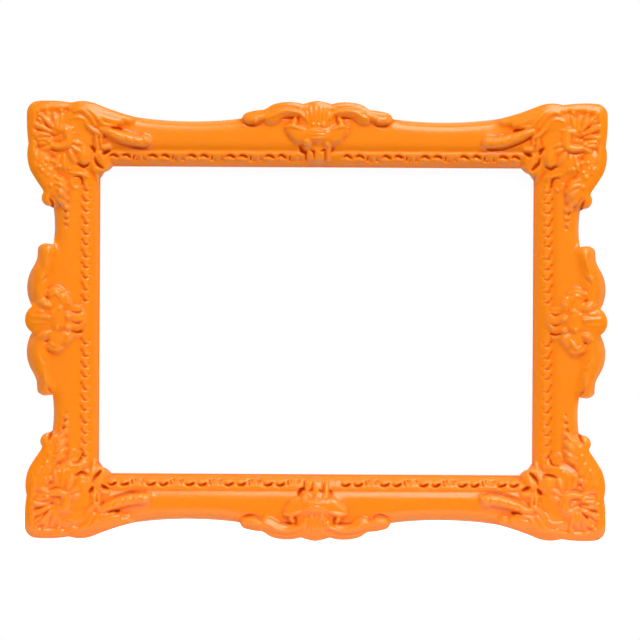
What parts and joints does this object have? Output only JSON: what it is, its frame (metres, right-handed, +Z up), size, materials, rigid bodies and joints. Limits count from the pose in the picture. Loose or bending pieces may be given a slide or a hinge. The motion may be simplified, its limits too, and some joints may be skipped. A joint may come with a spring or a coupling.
{
  "type": "magnetic photo frame",
  "caption": "Baroque style moulded plastic photo frame with carved corners, side crests and an egg strip around a clear window; disc magnets in its rear cover hold it flat on a steel surface.",
  "frame": {"origin": "middle of the sight opening, on the flat back plane that meets the steel surface", "axes": "+X to the right seen from the front along the long side, +Z up, +Y out of the back towards the steel surface; the carved front faces -Y"},
  "size_m": [0.2308, 0.0138, 0.1746],
  "materials": {
    "moulding_plastic": "glossy",
    "cover_plastic": "satin",
    "window_plastic": "polished",
    "magnet_ferrite": "matt",
    "screw_steel": "zinc plated"
  },
  "bodies": {
    "root": {"front_moulding": "moulding_plastic", "rear_cover": "cover_plastic", "clear_window": "window_plastic", "magnet_top_left": "magnet_ferrite", "magnet_top_middle": "magnet_ferrite", "magnet_top_right": "magnet_ferrite", "magnet_side_left": "magnet_ferrite", "magnet_side_right": "magnet_ferrite", "magnet_bottom_left": "magnet_ferrite", "magnet_bottom_middle": "magnet_ferrite", "magnet_bottom_right": "magnet_ferrite", "cover_screws": "screw_steel"}
  },
  "joints": []
}
